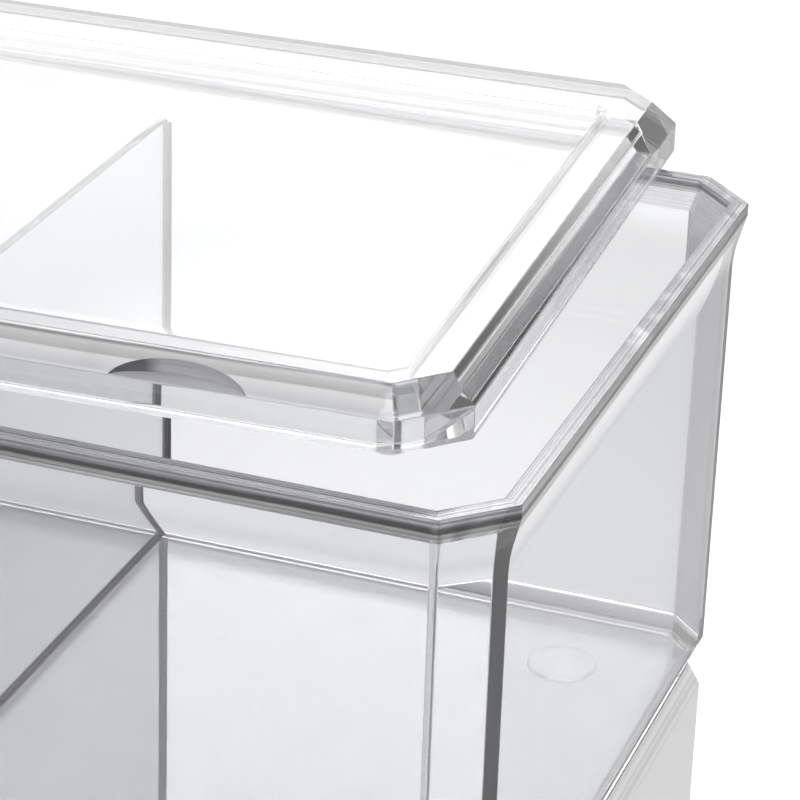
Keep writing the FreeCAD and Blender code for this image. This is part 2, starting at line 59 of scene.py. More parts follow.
def add_camera():
    """A camera from its place, its azimuth and elevation, and a roll of the horizon."""
    a, e, roll = CAMERA_AZIMUTH, CAMERA_ELEVATION, CAMERA_ROLL
    back = Vector((math.sin(a) * math.cos(e), -math.cos(a) * math.cos(e), math.sin(e)))
    right = Vector((math.cos(a), math.sin(a), 0.0))
    up = back.cross(right)
    side = math.cos(roll) * right + math.sin(roll) * up
    top = -math.sin(roll) * right + math.cos(roll) * up
    data = bpy.data.cameras.new("camera")
    data.lens, data.sensor_width, data.sensor_fit = LENS_MM, SENSOR_MM, "HORIZONTAL"
    data.clip_start, data.clip_end = NEAR_CLIP, FAR_CLIP
    camera = bpy.data.objects.new("camera", data)
    bpy.context.scene.collection.objects.link(camera)
    camera.matrix_world = Matrix((side, top, back)).transposed().to_4x4()
    camera.location = CAMERA_PLACE
    bpy.context.scene.camera = camera
    return camera


camera = add_camera()
bpy.context.scene.view_settings.view_transform = "Standard"
print("camera at", [round(1000 * c) for c in camera.location], "mm, lens", LENS_MM)

# %% [markdown]
# ## Drawing with octagons
# Every moulding has the same plan: a rectangle with cut corners. Moving that plan inward by an inset
# shortens the cut leg too. A moulding is then a list of (inset, height) pairs, one ring of points
# for each pair, and faces between neighbouring rings. It could be made with booleans, but rings
# give clean quads, so the curved flare and the soft edges bend light without facets.

# %% Sizes of the plan, in millimetres
MM = 0.001
HALF_X, HALF_Y, CORNER_LEG = 74.0, 47.5, 6.2
CORNER_RATE = 2 - math.sqrt(2)
BOX_CENTRE = Vector((5.66, 1.40))
SOFT_CORNER = 0.3
SHARP_ANGLE = math.radians(38)
print("rim", 2 * HALF_X, "by", 2 * HALF_Y, "mm, cut corner leg", CORNER_LEG)


# %% Rounding the corners of a line
def soften(points, radii, steps=3, closed=False):
    """Rounds the corners of a run of 2-D points. A radius of 0 keeps the corner."""
    out, last = [], len(points) - 1
    for i, point in enumerate(points):
        radius = radii[i] if isinstance(radii, (list, tuple)) else radii
        if radius <= 0 or (not closed and i in (0, last)):
            out.append(Vector(point))
            continue
        corner = Vector(point)
        before = Vector(points[i - 1]) - corner
        after = Vector(points[(i + 1) % len(points)]) - corner
        turn = math.pi - before.angle(after)
        reach = min(radius * math.tan(turn / 2), 0.49 * before.length, 0.49 * after.length)
        start, end = corner + before.normalized() * reach, corner + after.normalized() * reach
        for k in range(steps + 1):
            t = k / steps
            out.append(start * (1 - t) ** 2 + corner * 2 * t * (1 - t) + end * t * t)
    return out


def rounded_profile(rows):
    """Rounds a profile that is given as rows of inset, height and radius."""
    return soften([row[:2] for row in rows], [row[2] for row in rows], steps=4)


def plan(inset, round_by=SOFT_CORNER):
    """The cut-corner outline, moved inward by inset, as 2-D points in millimetres."""
    x, y, leg = HALF_X - inset, HALF_Y - inset, CORNER_LEG - CORNER_RATE * inset
    corners = [(x, leg - y), (x, y - leg), (x - leg, y), (leg - x, y),
               (-x, y - leg), (-x, leg - y), (leg - x, -y), (x - leg, -y)]
    return soften(corners, round_by, steps=3, closed=True)


print("plan points", len(plan(0)))


# %% From points to a finished piece
def new_piece(name, bm, body, stands_for, place=Matrix.Identity(4)):
    """Turns a bmesh in millimetres into a finished object that rides on its body."""
    bmesh.ops.recalc_face_normals(bm, faces=bm.faces)
    bm.transform(Matrix.Scale(MM, 4) @ place)
    mesh = bpy.data.meshes.new(name)
    bm.to_mesh(mesh)
    bm.free()
    for face in mesh.polygons:
        face.use_smooth = True
    mesh.set_sharp_from_angle(angle=SHARP_ANGLE)
    piece = bpy.data.objects.new(name, mesh)
    bpy.context.scene.collection.objects.link(piece)
    weighted = piece.modifiers.new("flat faces stay flat", "WEIGHTED_NORMAL")
    weighted.keep_sharp = True
    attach(piece, body)
    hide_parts(stands_for)
    print(name, "faces", len(mesh.polygons))
    return piece


def skin(bm, rings):
    """Joins neighbouring rings of points with quads, and caps the first and the last ring."""
    for near, far in zip(rings, rings[1:]):
        for i in range(len(near)):
            j = (i + 1) % len(near)
            bm.faces.new((near[i], near[j], far[j], far[i]))
    bm.faces.new(rings[0])
    bm.faces.new(rings[-1])
    return bm


def shell(profile):
    """A closed moulding from (inset, height) pairs, one ring of the plan for each pair."""
    bm = bmesh.new()
    rings = [[bm.verts.new((p.x, p.y, height)) for p in plan(inset)] for inset, height in profile]
    return skin(bm, rings)


print("helpers ready, faces turn sharp above", round(math.degrees(SHARP_ANGLE)), "degrees")

# %% [markdown]
# ## The upper box
# On the real object this is one injection moulding: a stacking plinth, upright walls, a hollow flare
# that runs out to the rim, a flat rim, a sloped mouth and a cavity with a rounded floor. One profile
# holds all of it, outside and inside, so the wall is truly solid and light bends twice in it.

# %% Upper box sizes: insets from the rim's edge and heights above the box's foot
BOX_FOOT, BOX_HEIGHT = 45.42, 60.0
PLINTH_MIDDLE, PLINTH_INSET, PLINTH_HEIGHT = 6.0, 2.6, 3.2
WALL_INSET, WALL_INSIDE = 1.2, 3.5
FLOOR_MIDDLE, FLOOR_TOP, FLOOR_ROUND = 8.0, 1.6, 2.0
FLARE_FOOT, FLARE_RADIUS, FLARE_LEAN, FLARE_STEPS = 51.97, 14.0, math.radians(14.0), 12
LIP_START, EDGE_FOOT = 57.6, 58.5
RIM_FLAT, MOUTH_TOP, MOUTH_FOOT = 2.0, 59.1, 56.7
print("wall thickness", round(WALL_INSIDE - WALL_INSET, 2), "mm")


# %% Upper box profile
def flare_rows():
    """The hollow curve of the flare, then its straight part up to the lip."""
    rows = []
    for k in range(1, FLARE_STEPS + 1):
        turn = FLARE_LEAN * k / FLARE_STEPS
        rows.append((WALL_INSET - FLARE_RADIUS * (1 - math.cos(turn)),
                     FLARE_FOOT + FLARE_RADIUS * math.sin(turn), 0.0))
    rows.append(((EDGE_FOOT - LIP_START) * math.tan(FLARE_LEAN), LIP_START, 0.0))
    return rows


def box_profile():
    """Rows of inset, height and radius: up the outside, over the rim and down the inside."""
    outside = [(PLINTH_MIDDLE, 0.0, 0.0), (PLINTH_INSET, 0.0, 0.2),
               (PLINTH_INSET, PLINTH_HEIGHT, 0.2), (WALL_INSET, PLINTH_HEIGHT, 0.25),
               (WALL_INSET, FLARE_FOOT, 0.0)]
    rim = [(0.0, EDGE_FOOT, 0.15), (0.0, BOX_HEIGHT, 0.15), (RIM_FLAT, BOX_HEIGHT, 0.15),
           (RIM_FLAT, MOUTH_TOP, 0.15)]
    inside = [(WALL_INSIDE, MOUTH_FOOT, 0.2), (WALL_INSIDE, FLOOR_TOP, FLOOR_ROUND),
              (FLOOR_MIDDLE, FLOOR_TOP, 0.0)]
    return rounded_profile(outside + flare_rows() + rim + inside)


print("profile rings", len(box_profile()))

# %% Upper box piece
box_place = Matrix.Translation((BOX_CENTRE.x, BOX_CENTRE.y, BOX_FOOT))
box_piece = new_piece("clear_box_shell", shell(box_profile()), "box", "upper_box",
                      box_place)

# %% [markdown]
# ## The lid
# The real lid is a loose plate with a bevel all round, an upright skirt, a locating ring that drops
# into the mouth of the box, and a recess underneath. It is drawn with the same rings as the box.
# The two finger scoops cross several faces, so they are taken out with a boolean.

# %% Lid sizes
LID_FOOT, LID_TURN = 106.74, math.radians(2.46)
LID_SHIFT = Vector((-9.61, 5.55))
LID_HEIGHT, SKIRT_HEIGHT, BEVEL_RUN = 6.3, 3.6, 2.8
RING_INSET, RING_INSIDE, RING_DROP, RECESS_TOP = 2.4, 7.6, 1.3, 2.7
RECESS_MIDDLE, LID_MIDDLE = 9.4, 9.0
SCOOP = {"x": 45.7, "y": -48.62, "z": 3.65, "half": 7.6, "round": 3.6}
print("lid plate", round(LID_HEIGHT - RECESS_TOP, 2), "mm thick")


# %% Lid profile
def lid_profile():
    """Rows of inset, height and radius: out along the underside, up the skirt and over the bevel."""
    return rounded_profile([
        (RECESS_MIDDLE, RECESS_TOP, 0), (RING_INSIDE, RECESS_TOP, 0.4),
        (RING_INSIDE, -RING_DROP, 0.3), (RING_INSET, -RING_DROP, 0.25), (RING_INSET, 0.0, 0.2),
        (0.0, 0.0, 0.3), (0.0, SKIRT_HEIGHT, 0.35), (BEVEL_RUN, LID_HEIGHT, 0.35),
        (LID_MIDDLE, LID_HEIGHT, 0)])


print("profile rings", len(lid_profile()))

# %% Lid place, and a cutter for the finger scoops
SCOOP_FINISH = 2
lid_place = (Matrix.Translation((BOX_CENTRE.x + LID_SHIFT.x, BOX_CENTRE.y + LID_SHIFT.y, LID_FOOT))
             @ Matrix.Rotation(LID_TURN, 4, "Z"))


def half_dome(side):
    """The upper half of an ellipsoid, closed by a flat floor, where one scoop goes."""
    dome = bmesh.new()
    bmesh.ops.create_uvsphere(dome, u_segments=96, v_segments=48, radius=1.0)
    half = bmesh.ops.bisect_plane(dome, geom=dome.verts[:] + dome.edges[:] + dome.faces[:],
                                  plane_co=(0, 0, 0), plane_no=(0, 0, -1), clear_outer=True)
    rim = [part for part in half["geom_cut"] if isinstance(part, bmesh.types.BMEdge)]
    bmesh.ops.edgeloop_fill(dome, edges=rim)
    size = Matrix.Diagonal((SCOOP["half"], SCOOP["round"], SCOOP["round"], 1.0))
    move = Matrix.Translation((side * SCOOP["x"], SCOOP["y"], SCOOP["z"]))
    dome.transform(lid_place @ move @ size)
    bmesh.ops.recalc_face_normals(dome, faces=dome.faces)
    mesh = bpy.data.meshes.new("half_dome")
    dome.to_mesh(mesh)
    dome.free()
    return mesh


def scoop_cutter():
    """Both half domes as one object. Its faces carry the place of the scoop's finish on the lid."""
    bm = bmesh.new()
    for side in (-1, 1):
        dome_mesh = half_dome(side)
        bm.from_mesh(dome_mesh)
        bpy.data.meshes.remove(dome_mesh)
    bm.transform(Matrix.Scale(MM, 4))
    mesh = bpy.data.meshes.new("scoop_cutter")
    bm.to_mesh(mesh)
    bm.free()
    for face in mesh.polygons:
        face.use_smooth = True
        face.material_index = SCOOP_FINISH
    cutter = bpy.data.objects.new("scoop_cutter", mesh)
    bpy.context.scene.collection.objects.link(cutter)
    return cutter


print("scoops at", SCOOP["x"], "mm either side of the middle")


# %% Lid piece, with its scoops cut out
def cut_scoops(piece):
    """Takes the two finger scoops out of the lid with a boolean, and keeps the result as the mesh."""
    cutter = scoop_cutter()
    cut = piece.modifiers.new("scoops", "BOOLEAN")
    cut.operation = "DIFFERENCE"
    cut.solver = "EXACT"
    cut.object = cutter
    bpy.context.view_layer.objects.active = piece
    while piece.modifiers[0] != cut:
        bpy.ops.object.modifier_move_up(modifier=cut.name)
    bpy.ops.object.modifier_apply(modifier=cut.name)
    bpy.data.objects.remove(cutter)
    piece.data.set_sharp_from_angle(angle=SHARP_ANGLE)
    print("lid faces after the scoops", len(piece.data.polygons))


lid_piece = new_piece("clear_lid_plate", shell(lid_profile()), "lid", "lid", lid_place)
cut_scoops(lid_piece)

# %% [markdown]
# ## The divider
# A thin panel across the middle of the box, cut from sheet, its lower corners rounded to sit in the
# floor round. It could be a cube with a bevel, but layers of one outline round only its edges, and
# keep the two large faces truly flat.

# %% Divider
DIVIDER = {"x": (5.06, 6.26), "y": (-42.57, 45.37), "z": (47.05, 100.62), "round": 2.0}
DIVIDER_TOP_ROUND, DIVIDER_SOFT, DIVIDER_TIP = 0.4, 0.25, 0.07


def divider_outline():
    """The panel seen from its side, as (y, z) points with rounded corners."""
    (near, far), (low, high) = DIVIDER["y"], DIVIDER["z"]
    radii = [DIVIDER["round"], DIVIDER["round"], DIVIDER_TOP_ROUND, DIVIDER_TOP_ROUND]
    return soften([(near, low), (far, low), (far, high), (near, high)], radii, steps=6, closed=True)


def divider_mesh():
    """Six layers of the outline, the outer ones a little smaller, so that all edges are soft."""
    outline = divider_outline()
    centre = Vector((sum(DIVIDER["y"]) / 2, sum(DIVIDER["z"]) / 2))
    size = Vector((DIVIDER["y"][1] - DIVIDER["y"][0], DIVIDER["z"][1] - DIVIDER["z"][0]))
    left, right = DIVIDER["x"]
    layers = [(left, DIVIDER_SOFT), (left + DIVIDER_TIP, DIVIDER_TIP), (left + DIVIDER_SOFT, 0.0),
              (right - DIVIDER_SOFT, 0.0), (right - DIVIDER_TIP, DIVIDER_TIP), (right, DIVIDER_SOFT)]
    bm = bmesh.new()
    rings = []
    for x, inset in layers:
        scale = Vector((1 - 2 * inset / size.x, 1 - 2 * inset / size.y))
        ring = [centre + Vector(((p.x - centre.x) * scale.x, (p.y - centre.y) * scale.y))
                for p in outline]
        rings.append([bm.verts.new((x, p.x, p.y)) for p in ring])
    return skin(bm, rings)


divider_piece = new_piece("clear_divider_panel", divider_mesh(), "box", "divider")

# %% [markdown]
# ## The bonding beads
# The divider is bonded in with a bead of cement along its foot and both ends. The bead fills the
# inside corner with a hollow curve, which bends light away and so reads as a dark line; its finish
# also paints that line in as dark shade. It could be a curve with a bevel, but rings of points keep
# the top ends flat and the curve exact.

# %% Bonding beads
BEAD_REACH, BEAD_STEPS, BEAD_TOP_GAP, BEAD_AIR, BEAD_TIGHTEST = 0.42, 4, 0.5, 0.01, 0.2


def bead_path(inset):
    """The run down the front end, along the foot and up the back end, as (y, z) points."""
    low_y, high_y = DIVIDER["y"][0] + inset, DIVIDER["y"][1] - inset
    low_z, high_z = DIVIDER["z"][0] + inset, DIVIDER["z"][1] - BEAD_TOP_GAP
    corner = max(DIVIDER["round"] - inset, BEAD_TIGHTEST)
    return soften([(low_y, high_z), (low_y, low_z), (high_y, low_z), (high_y, high_z)],
                  [0, corner, corner, 0], steps=6)


def bead_mesh():
    """One hollow-faced bead on each side of the panel, closed at its two top ends."""
    bm = bmesh.new()
    for side, face in ((-1, DIVIDER["x"][0]), (1, DIVIDER["x"][1])):
        section = [(0.0, 0.0)]
        for k in range(BEAD_STEPS + 1):
            turn = math.pi / 2 * k / BEAD_STEPS
            section.append((BEAD_REACH * (1 - math.sin(turn)), BEAD_REACH * (1 - math.cos(turn))))
        rings = [[bm.verts.new((face + side * (out + BEAD_AIR), p.x, p.y)) for p in bead_path(inset)]
                 for out, inset in section]
        for k, ring in enumerate(rings):
            following = rings[(k + 1) % len(rings)]
            for i in range(len(ring) - 1):
                bm.faces.new((ring[i], ring[i + 1], following[i + 1], following[i]))
        for end in (0, -1):
            bm.faces.new([ring[end] for ring in rings])
    return bm


bead_piece = new_piece("bonding_beads", bead_mesh(), "box", "divider")

# %% [markdown]
# ## Effects that several finishes share
# A moulded clear box is only seen by small flaws: slow waves from the flow of the plastic, fine lines
# from the buffing wheel, a deeper tone where the eye looks along a wall, and a faint cloudiness. Each
# is a shader node group with its own inputs, built once and placed in every finish that needs it.

# %% Node helpers
def node(tree, kind, place, **settings):
    """Adds a node at a place in the node editor, with its settings given by name."""
    made = tree.nodes.new(kind)
    made.location = place
    for key, value in settings.items():
        setattr(made, key, value)
    return made


def put(made, socket, value):
    """Sets the value of one input of a node."""
    made.inputs[socket].default_value = value


def link(start, end):
    """Joins two sockets of the same node tree."""
    start.id_data.links.new(start, end)


print("finishes so far", len(bpy.data.materials))


# %% Group: slow waves left by the flow of the plastic
def group_flow_tilt():
    """Leans the surface a little this way and that, in slow streaks along the flow of the plastic."""
    tree = bpy.data.node_groups.new("flow_tilt", "ShaderNodeTree")
    face = tree.interface
    for name, default in (("Upright streaks", 0.01), ("Level streaks", 0.01), ("Scale", 60.0)):
        face.new_socket(name, in_out="INPUT", socket_type="NodeSocketFloat").default_value = default
    face.new_socket("Normal", in_out="OUTPUT", socket_type="NodeSocketVector")
    into, out = node(tree, "NodeGroupInput", (-900, 0)), node(tree, "NodeGroupOutput", (900, 0))
    place = node(tree, "ShaderNodeTexCoord", (-900, 200))
    face_normal = node(tree, "ShaderNodeNewGeometry", (130, -300))
    total = face_normal.outputs["Normal"]
    fields = (("Upright streaks", (1.0, 1.0, 0.15)), ("Level streaks", (0.12, 0.12, 2.0)))
    for row, (name, stretch) in enumerate(fields):
        y = 200 - 350 * row
        squeeze = node(tree, "ShaderNodeVectorMath", (-500, y), operation="MULTIPLY")
        put(squeeze, 1, stretch)
        slow = node(tree, "ShaderNodeTexNoise", (-250, y))
        put(slow, "Detail", 1.0)
        put(slow, "Roughness", 0.4)
        centre = node(tree, "ShaderNodeVectorMath", (-50, y), operation="SUBTRACT")
        put(centre, 1, (0.5, 0.5, 0.5))
        lean = node(tree, "ShaderNodeVectorMath", (130, y), operation="SCALE")
        add = node(tree, "ShaderNodeVectorMath", (400 + 150 * row, 0), operation="ADD")
        link(place.outputs["Object"], squeeze.inputs[0])
        link(squeeze.outputs[0], slow.inputs["Vector"])
        link(into.outputs["Scale"], slow.inputs["Scale"])
        link(slow.outputs["Color"], centre.inputs[0])
        link(centre.outputs[0], lean.inputs[0])
        link(into.outputs[name], lean.inputs["Scale"])
        link(lean.outputs[0], add.inputs[0])
        link(total, add.inputs[1])
        total = add.outputs[0]
    unit = node(tree, "ShaderNodeVectorMath", (720, 0), operation="NORMALIZE")
    link(total, unit.inputs[0])
    link(unit.outputs[0], out.inputs["Normal"])
    return tree


FLOW_TILT = group_flow_tilt()
print(FLOW_TILT.name, "nodes", len(FLOW_TILT.nodes))


# %% Nodes that measure how far outside the cut-corner plan a place lies
CORNER_LINE = (HALF_X + HALF_Y - CORNER_LEG) * MM


def outside_plan(tree, into, part):
    """The largest of the distances past a long side, a short side and a cut corner, as a socket."""
    sides = []
    for row, (axis, half) in enumerate((("X", "Half X"), ("Y", "Half Y"))):
        size = node(tree, "ShaderNodeMath", (-800, -200 * row), operation="ABSOLUTE")
        past = node(tree, "ShaderNodeMath", (-600, -200 * row), operation="SUBTRACT")
        link(part.outputs[axis], size.inputs[0])
        link(size.outputs[0], past.inputs[0])
        link(into.outputs[half], past.inputs[1])
        sides.append((size, past))
    both = node(tree, "ShaderNodeMath", (-600, -400), operation="ADD")
    cut = node(tree, "ShaderNodeMath", (-400, -400), operation="SUBTRACT")
    slope = node(tree, "ShaderNodeMath", (-200, -400), operation="MULTIPLY")
    put(slope, 1, math.sqrt(0.5))
    link(sides[0][0].outputs[0], both.inputs[0])
    link(sides[1][0].outputs[0], both.inputs[1])
    link(both.outputs[0], cut.inputs[0])
    link(into.outputs["Corner"], cut.inputs[1])
    link(cut.outputs[0], slope.inputs[0])
    larger = node(tree, "ShaderNodeMath", (-400, 0), operation="MAXIMUM")
    largest = node(tree, "ShaderNodeMath", (-100, 0), operation="MAXIMUM")
    link(sides[0][1].outputs[0], larger.inputs[0])
    link(sides[1][1].outputs[0], larger.inputs[1])
    link(larger.outputs[0], largest.inputs[0])
    link(slope.outputs[0], largest.inputs[1])
    return largest.outputs[0]


print("the cut corners lie where x + y is", round(CORNER_LINE, 4), "m")


# %% Group: lines of the buffing wheel
def group_edge_streaks():
    """Fine lines that run along an edge and turn with the cut corners, as a buffing wheel leaves them."""
    tree = bpy.data.node_groups.new("edge_streaks", "ShaderNodeTree")
    face = tree.interface
    face.new_socket("Place", in_out="INPUT", socket_type="NodeSocketVector")
    for name, default in (("Half X", HALF_X * MM), ("Half Y", HALF_Y * MM), ("Corner", CORNER_LINE),
                          ("Depth", 0.00001), ("Lines per metre", 3600.0)):
        face.new_socket(name, in_out="INPUT", socket_type="NodeSocketFloat").default_value = default
    face.new_socket("Normal", in_out="OUTPUT", socket_type="NodeSocketVector")
    face.new_socket("Line", in_out="OUTPUT", socket_type="NodeSocketFloat")
    face.new_socket("Across", in_out="OUTPUT", socket_type="NodeSocketFloat")
    into, out = node(tree, "NodeGroupInput", (-1200, 0)), node(tree, "NodeGroupOutput", (900, 0))
    part = node(tree, "ShaderNodeSeparateXYZ", (-1000, 0))
    link(into.outputs["Place"], part.inputs[0])
    down = node(tree, "ShaderNodeMath", (50, -150), operation="ADD")
    link(outside_plan(tree, into, part), down.inputs[0])
    link(part.outputs["Z"], down.inputs[1])
    lines = node(tree, "ShaderNodeTexNoise", (250, 0), noise_dimensions="1D")
    put(lines, "Detail", 3.0)
    link(down.outputs[0], lines.inputs["W"])
    link(down.outputs[0], out.inputs["Across"])
    link(into.outputs["Lines per metre"], lines.inputs["Scale"])
    bump = node(tree, "ShaderNodeBump", (500, 0))
    link(into.outputs["Depth"], bump.inputs["Distance"])
    link(lines.outputs[0], bump.inputs["Height"])
    link(bump.outputs[0], out.inputs["Normal"])
    # The line mask lets a finish paint the lines as dark and pale streaks, a painted sheen.
    crisp = node(tree, "ShaderNodeMapRange", (500, -250), interpolation_type="SMOOTHSTEP")
    put(crisp, "From Min", 0.4)
    put(crisp, "From Max", 0.62)
    link(lines.outputs[0], crisp.inputs["Value"])
    link(crisp.outputs[0], out.inputs["Line"])
    return tree


EDGE_STREAKS = group_edge_streaks()
print(EDGE_STREAKS.name, "nodes", len(EDGE_STREAKS.nodes))


# %% Group: deeper tone at a grazing look
def group_grazing_shade():
    """Clear plastic seen edge on has a longer way for the light, so grazing faces look darker."""
    tree = bpy.data.node_groups.new("grazing_shade", "ShaderNodeTree")
    face = tree.interface
    face.new_socket("Facing", in_out="INPUT", socket_type="NodeSocketFloat")
    face.new_socket("Colour", in_out="INPUT", socket_type="NodeSocketColor")
    face.new_socket("Colour", in_out="OUTPUT", socket_type="NodeSocketColor")
    into, out = node(tree, "NodeGroupInput", (-600, 0)), node(tree, "NodeGroupOutput", (300, 0))
    grazing = node(tree, "ShaderNodeMapRange", (-300, 150), interpolation_type="SMOOTHSTEP")
    put(grazing, "From Min", 0.80)
    put(grazing, "From Max", 0.985)
    put(grazing, "To Max", 0.55)
    deeper = node(tree, "ShaderNodeMix", (0, 0), data_type="RGBA")
    put(deeper, "B", (0.16, 0.16, 0.18, 1.0))
    link(into.outputs["Facing"], grazing.inputs["Value"])
    link(grazing.outputs[0], deeper.inputs["Factor"])
    link(into.outputs["Colour"], deeper.inputs["A"])
    link(deeper.outputs["Result"], out.inputs["Colour"])
    return tree


GRAZING = group_grazing_shade()
print(GRAZING.name, "nodes", len(GRAZING.nodes))


# %% Group: a tint that wanders
def group_cloudy_tint():
    """A tint that wanders between two close colours, and the cloud itself for other uses."""
    tree = bpy.data.node_groups.new("cloudy_tint", "ShaderNodeTree")
    face = tree.interface
    face.new_socket("Place", in_out="INPUT", socket_type="NodeSocketVector")
    face.new_socket("Scale", in_out="INPUT", socket_type="NodeSocketFloat").default_value = 160.0
    face.new_socket("Dark", in_out="INPUT", socket_type="NodeSocketColor")
    face.new_socket("Pale", in_out="INPUT", socket_type="NodeSocketColor")
    face.new_socket("Colour", in_out="OUTPUT", socket_type="NodeSocketColor")
    face.new_socket("Cloud", in_out="OUTPUT", socket_type="NodeSocketFloat")
    into, out = node(tree, "NodeGroupInput", (-600, 0)), node(tree, "NodeGroupOutput", (300, 0))
    cloud = node(tree, "ShaderNodeTexNoise", (-300, 150))
    shade = node(tree, "ShaderNodeMix", (0, 0), data_type="RGBA")
    link(into.outputs["Place"], cloud.inputs["Vector"])
    link(into.outputs["Scale"], cloud.inputs["Scale"])
    link(cloud.outputs[0], shade.inputs["Factor"])
    link(into.outputs["Dark"], shade.inputs["A"])
    link(into.outputs["Pale"], shade.inputs["B"])
    link(shade.outputs["Result"], out.inputs["Colour"])
    link(cloud.outputs[0], out.inputs["Cloud"])
    return tree


CLOUDY = group_cloudy_tint()
print(CLOUDY.name, "nodes", len(CLOUDY.nodes))


# %% Group: a slow sway, so that no line is dead straight
def group_slow_sway():
    """Moves a value up and down by a little over long distances."""
    tree = bpy.data.node_groups.new("slow_sway", "ShaderNodeTree")
    face = tree.interface
    face.new_socket("Place", in_out="INPUT", socket_type="NodeSocketVector")
    for name, default in (("Value", 0.0), ("Scale", 22.0), ("Reach", 0.0008)):
        face.new_socket(name, in_out="INPUT", socket_type="NodeSocketFloat").default_value = default
    face.new_socket("Value", in_out="OUTPUT", socket_type="NodeSocketFloat")
    into, out = node(tree, "NodeGroupInput", (-600, 0)), node(tree, "NodeGroupOutput", (400, 0))
    slow = node(tree, "ShaderNodeTexNoise", (-400, 150))
    middle = node(tree, "ShaderNodeMath", (-200, 150), operation="SUBTRACT")
    put(middle, 1, 0.5)
    sway = node(tree, "ShaderNodeMath", (0, 100), operation="MULTIPLY")
    moved = node(tree, "ShaderNodeMath", (200, 0), operation="ADD")
    link(into.outputs["Place"], slow.inputs["Vector"])
    link(into.outputs["Scale"], slow.inputs["Scale"])
    link(slow.outputs[0], middle.inputs[0])
    link(middle.outputs[0], sway.inputs[0])
    link(into.outputs["Reach"], sway.inputs[1])
    link(sway.outputs[0], moved.inputs[0])
    link(into.outputs["Value"], moved.inputs[1])
    link(moved.outputs[0], out.inputs["Value"])
    return tree


SLOW_SWAY = group_slow_sway()
print(SLOW_SWAY.name, "nodes", len(SLOW_SWAY.nodes))

# %% [markdown]
# ## Clear plastic
# Clear polystyrene is a smooth refracting solid with an index of about 1.56. A glass shader would do
# for still pictures, but the Principled one keeps tint, haze and gloss as plain numbers. The haze is
# the share of light that scatters instead of passing through. The tint is deeper than in the real
# plastic, because in an all-white room a truly colourless wall can't be seen.

# %% Clear plastic
PLASTIC_IOR = 1.56
UPRIGHT_WAVES, LEVEL_WAVES, WAVE_SCALE = 0.0015, 0.002, 40.0


def clear_plastic(name, tint, haze, upright=UPRIGHT_WAVES, level=LEVEL_WAVES, scale=WAVE_SCALE):
    """A clear moulded finish, with flow waves in its faces and a deeper tone at a grazing look."""
    material = bpy.data.materials.new(name)
    material.use_nodes = True
    tree = material.node_tree
    shader = tree.nodes["Principled BSDF"]
    put(shader, "Transmission Weight", 1.0 - haze)
    put(shader, "IOR", PLASTIC_IOR)
    put(shader, "Roughness", 0.0)
    put(shader, "Base Color", tint + (1.0,))
    flow = node(tree, "ShaderNodeGroup", (-400, -200), node_tree=FLOW_TILT)
    put(flow, "Scale", scale)
    put(flow, "Upright streaks", upright)
    put(flow, "Level streaks", level)
    link(flow.outputs["Normal"], shader.inputs["Normal"])
    facing = node(tree, "ShaderNodeLayerWeight", (-600, 300))
    shaded = node(tree, "ShaderNodeGroup", (-400, 300), node_tree=GRAZING)
    put(shaded, "Colour", tint + (1.0,))
    link(facing.outputs["Facing"], shaded.inputs["Facing"])
    link(shaded.outputs["Colour"], shader.inputs["Base Color"])
    return material


CLEAR = clear_plastic("clear_polystyrene", (0.885, 0.889, 0.90), 0.02)
# Painted shade: the plinth is tinted dark and stands in for the shadow in the gap where the box stands on
# the case.
PLINTH = clear_plastic("plinth_painted_shade", (0.35, 0.35, 0.38), 0.05)
# Painted shade: the two back corners are tinted darker than the rest of the clear wall.
BACK_CORNER_SHADE = clear_plastic("back_corner_painted_shade", (0.46, 0.46, 0.49), 0.05)
CASE_CLEAR = clear_plastic("clear_case_wall", (0.985, 0.985, 0.99), 0.72)
CASE_CLEAR.node_tree.nodes["Principled BSDF"].inputs["Roughness"].default_value = 0.12
print("clear finishes", len(bpy.data.materials))

# %% [markdown]
# ## Buffed edges, with painted highlight and shade
# The rim and the bevels of the real box are buffed, and a thick clear edge bends the light into dark
# and pale lines that run along it. Refraction alone gives only some of them here, so each of these
# finishes also carries painted bands of highlight and shade: a colour ramp laid across the strip, by
# its inset or by its height. A slow sway keeps them from being dead straight. The fine buffing lines
# are bumps in the surface, and they are also painted as dark and pale streaks, a painted sheen.

# %% Painted bands of highlight and shade
def add_bands(tree, place, level, shade, bands):
    """Multiplies painted bands of highlight and shade into a finish. Returns the socket with the new
    colour.
    """
    start, end, stops = bands
    swayed = node(tree, "ShaderNodeGroup", (-500, -500), node_tree=SLOW_SWAY)
    across = node(tree, "ShaderNodeMapRange", (-300, -300))
    put(across, "From Min", start * MM)
    put(across, "From Max", end * MM)
    tones = node(tree, "ShaderNodeValToRGB", (-100, -300))
    ramp = tones.color_ramp.elements
    for k, (at, tone) in enumerate(stops):
        stop = ramp[k] if k < 2 else ramp.new(at)
        stop.position = at
        stop.color = tone + (1.0,)
    mixed = node(tree, "ShaderNodeMix", (200, 100), data_type="RGBA", blend_type="MULTIPLY")
    put(mixed, "Factor", 1.0)
    link(place, swayed.inputs["Place"])
    link(level, swayed.inputs["Value"])
    link(swayed.outputs["Value"], across.inputs["Value"])
    link(across.outputs[0], tones.inputs["Fac"])
    link(shade, mixed.inputs["A"])
    link(tones.outputs["Color"], mixed.inputs["B"])
    return mixed.outputs["Result"]


print("groups so far", len(bpy.data.node_groups))

# %% Buffed edge finish, with painted sheen
LID_CENTRE = (BOX_CENTRE.x + LID_SHIFT.x, BOX_CENTRE.y + LID_SHIFT.y, 0.0)
BOX_AXIS = (BOX_CENTRE.x, BOX_CENTRE.y, 0.0)


